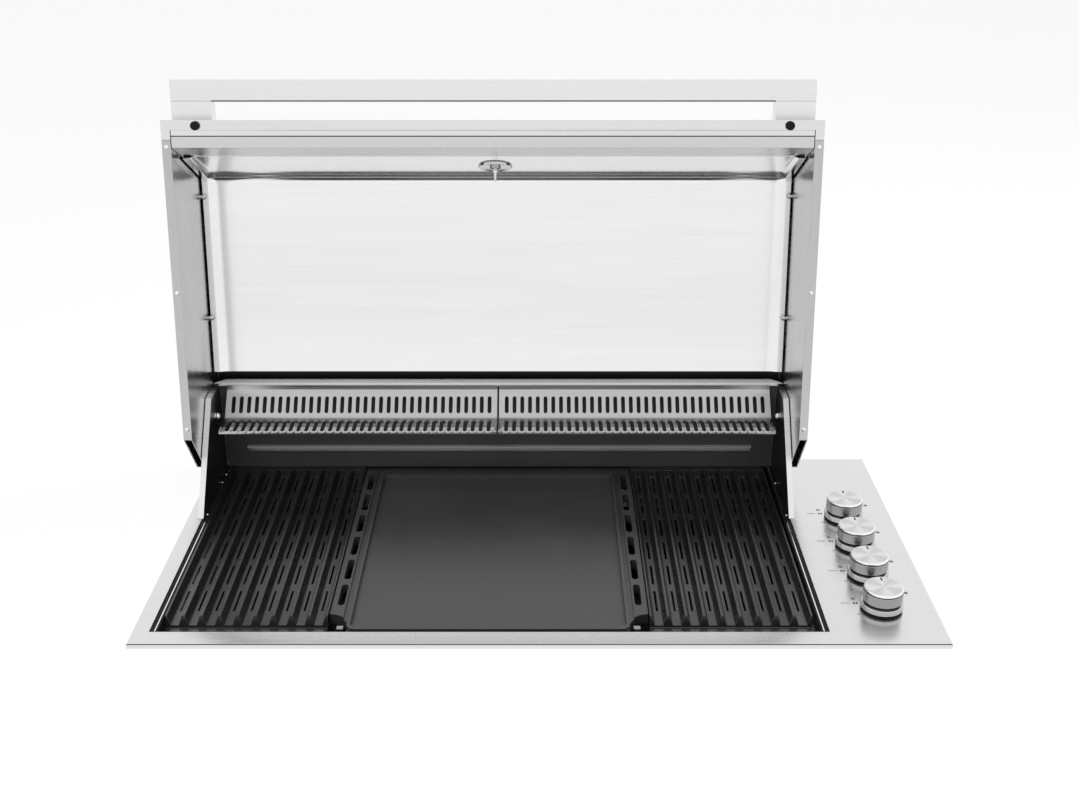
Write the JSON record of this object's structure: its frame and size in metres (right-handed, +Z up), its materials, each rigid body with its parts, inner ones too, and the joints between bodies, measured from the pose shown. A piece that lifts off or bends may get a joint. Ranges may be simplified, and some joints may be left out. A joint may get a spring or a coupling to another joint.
{
  "type": "built-in gas grill",
  "caption": "Stainless steel built-in gas grill for a worktop cut-out: ribbed grill plates beside a flat hotplate, warming racks, an open hood and a row of knobs at the right.",
  "frame": {"origin": "middle of the front edge of the top plate's folded rim, on the rim's underside, which lies on the worktop", "axes": "+X along the front edge to the right, towards the knobs; +Y towards the back; +Z up"},
  "size_m": [1.008, 0.5628, 0.7935],
  "materials": {
    "stainless": "brushed along X",
    "spun_steel": "spun, bright",
    "bright_steel": "bright",
    "zinc_steel": "dull zinc",
    "dark_steel": "dark, satin",
    "black_enamel": "black enamel",
    "cast_iron": "matt black enamel",
    "raw_iron": "as cast",
    "brass": "machined",
    "rubber": "matt black",
    "red_paint": "red"
  },
  "bodies": {
    "chassis": {"top_plate": "stainless", "back_panel": "stainless", "wing_left": "stainless", "wing_right": "stainless", "plate_rest": "stainless", "flame_tamer_left": "stainless", "flame_tamer_right": "stainless", "firebox": "black_enamel", "back_liner": "black_enamel", "wing_liner_left": "black_enamel", "wing_liner_right": "black_enamel", "burner_1": "raw_iron", "valve_body_1": "brass", "knob_bezel_1": "spun_steel", "feed_tube_1": "zinc_steel", "burner_2": "raw_iron", "valve_body_2": "brass", "knob_bezel_2": "spun_steel", "feed_tube_2": "zinc_steel", "burner_3": "raw_iron", "valve_body_3": "brass", "knob_bezel_3": "spun_steel", "feed_tube_3": "zinc_steel", "burner_4": "raw_iron", "valve_body_4": "brass", "knob_bezel_4": "spun_steel", "feed_tube_4": "zinc_steel", "control_housing": "zinc_steel", "manifold": "zinc_steel", "pivot_bolt_left": "bright_steel", "pivot_bolt_right": "bright_steel"},
    "hood": {"hood_shell": "stainless", "hood_side_left": "stainless", "hood_side_right": "stainless", "hood_lip": "stainless", "hood_liner": "stainless", "hood_handle": "stainless", "thermometer": "bright_steel", "thermometer_nut": "dark_steel", "hood_bumper_left": "rubber", "hood_bumper_right": "rubber"},
    "needle": {"thermometer_needle": "red_paint"},
    "plug_1": {"valve_plug_1": "brass"},
    "knob_1": {"knob_1": "spun_steel", "stem_1": "bright_steel"},
    "plug_2": {"valve_plug_2": "brass"},
    "knob_2": {"knob_2": "spun_steel", "stem_2": "bright_steel"},
    "plug_3": {"valve_plug_3": "brass"},
    "knob_3": {"knob_3": "spun_steel", "stem_3": "bright_steel"},
    "plug_4": {"valve_plug_4": "brass"},
    "knob_4": {"knob_4": "spun_steel", "stem_4": "bright_steel"},
    "left_grill": {"grill_left": "cast_iron"},
    "hotplate": {"hotplate": "cast_iron"},
    "right_grill": {"grill_right": "cast_iron"},
    "left_rack": {"warming_rack_left": "stainless"},
    "right_rack": {"warming_rack_right": "stainless"},
    "tray": {"grease_tray": "stainless"}
  },
  "joints": [
    {"name": "hood_hinge", "type": "hinge", "parent": "chassis", "child": "hood", "pos_m": [-0.062, 0.4306, 0.112], "axis": [-1, 0, 0], "range_deg": [-98.56, 0]},
    {"name": "needle_turn", "type": "hinge", "parent": "hood", "child": "needle", "pos_m": [-0.062, 0.49192, 0.50396], "axis": [0, -0.4933, -0.8698], "range_deg": [0, 270], "stiffness_Nm_per_rad": 0.0005},
    {"name": "knob_turn_1", "type": "hinge", "parent": "chassis", "child": "plug_1", "pos_m": [0.435, 0.075, 0.0064], "axis": [0, 0, 1], "range_deg": [0, 210]},
    {"name": "knob_push_1", "type": "slide", "parent": "plug_1", "child": "knob_1", "axis": [0, 0, -1], "range_m": [0, 0.002], "stiffness_N_per_m": 1500, "springref_m": -0.006},
    {"name": "knob_turn_2", "type": "hinge", "parent": "chassis", "child": "plug_2", "pos_m": [0.435, 0.154, 0.0064], "axis": [0, 0, 1], "range_deg": [0, 210]},
    {"name": "knob_push_2", "type": "slide", "parent": "plug_2", "child": "knob_2", "axis": [0, 0, -1], "range_m": [0, 0.002], "stiffness_N_per_m": 1500, "springref_m": -0.006},
    {"name": "knob_turn_3", "type": "hinge", "parent": "chassis", "child": "plug_3", "pos_m": [0.435, 0.233, 0.0064], "axis": [0, 0, 1], "range_deg": [0, 210]},
    {"name": "knob_push_3", "type": "slide", "parent": "plug_3", "child": "knob_3", "axis": [0, 0, -1], "range_m": [0, 0.002], "stiffness_N_per_m": 1500, "springref_m": -0.006},
    {"name": "knob_turn_4", "type": "hinge", "parent": "chassis", "child": "plug_4", "pos_m": [0.435, 0.312, 0.0064], "axis": [0, 0, 1], "range_deg": [0, 210]},
    {"name": "knob_push_4", "type": "slide", "parent": "plug_4", "child": "knob_4", "axis": [0, 0, -1], "range_m": [0, 0.002], "stiffness_N_per_m": 1500, "springref_m": -0.006},
    {"name": "left_grill_lift", "type": "slide", "parent": "chassis", "child": "left_grill", "axis": [0, 0, 1], "range_m": [0, 0.03]},
    {"name": "hotplate_lift", "type": "slide", "parent": "chassis", "child": "hotplate", "axis": [0, 0, 1], "range_m": [0, 0.03]},
    {"name": "right_grill_lift", "type": "slide", "parent": "chassis", "child": "right_grill", "axis": [0, 0, 1], "range_m": [0, 0.03]},
    {"name": "left_rack_lift", "type": "slide", "parent": "chassis", "child": "left_rack", "axis": [0, 0, 1], "range_m": [0, 0.08]},
    {"name": "right_rack_lift", "type": "slide", "parent": "chassis", "child": "right_rack", "axis": [0, 0, 1], "range_m": [0, 0.08]},
    {"name": "tray_slide", "type": "slide", "parent": "chassis", "child": "tray", "axis": [0, -1, 0], "range_m": [0, 0.38]}
  ]
}
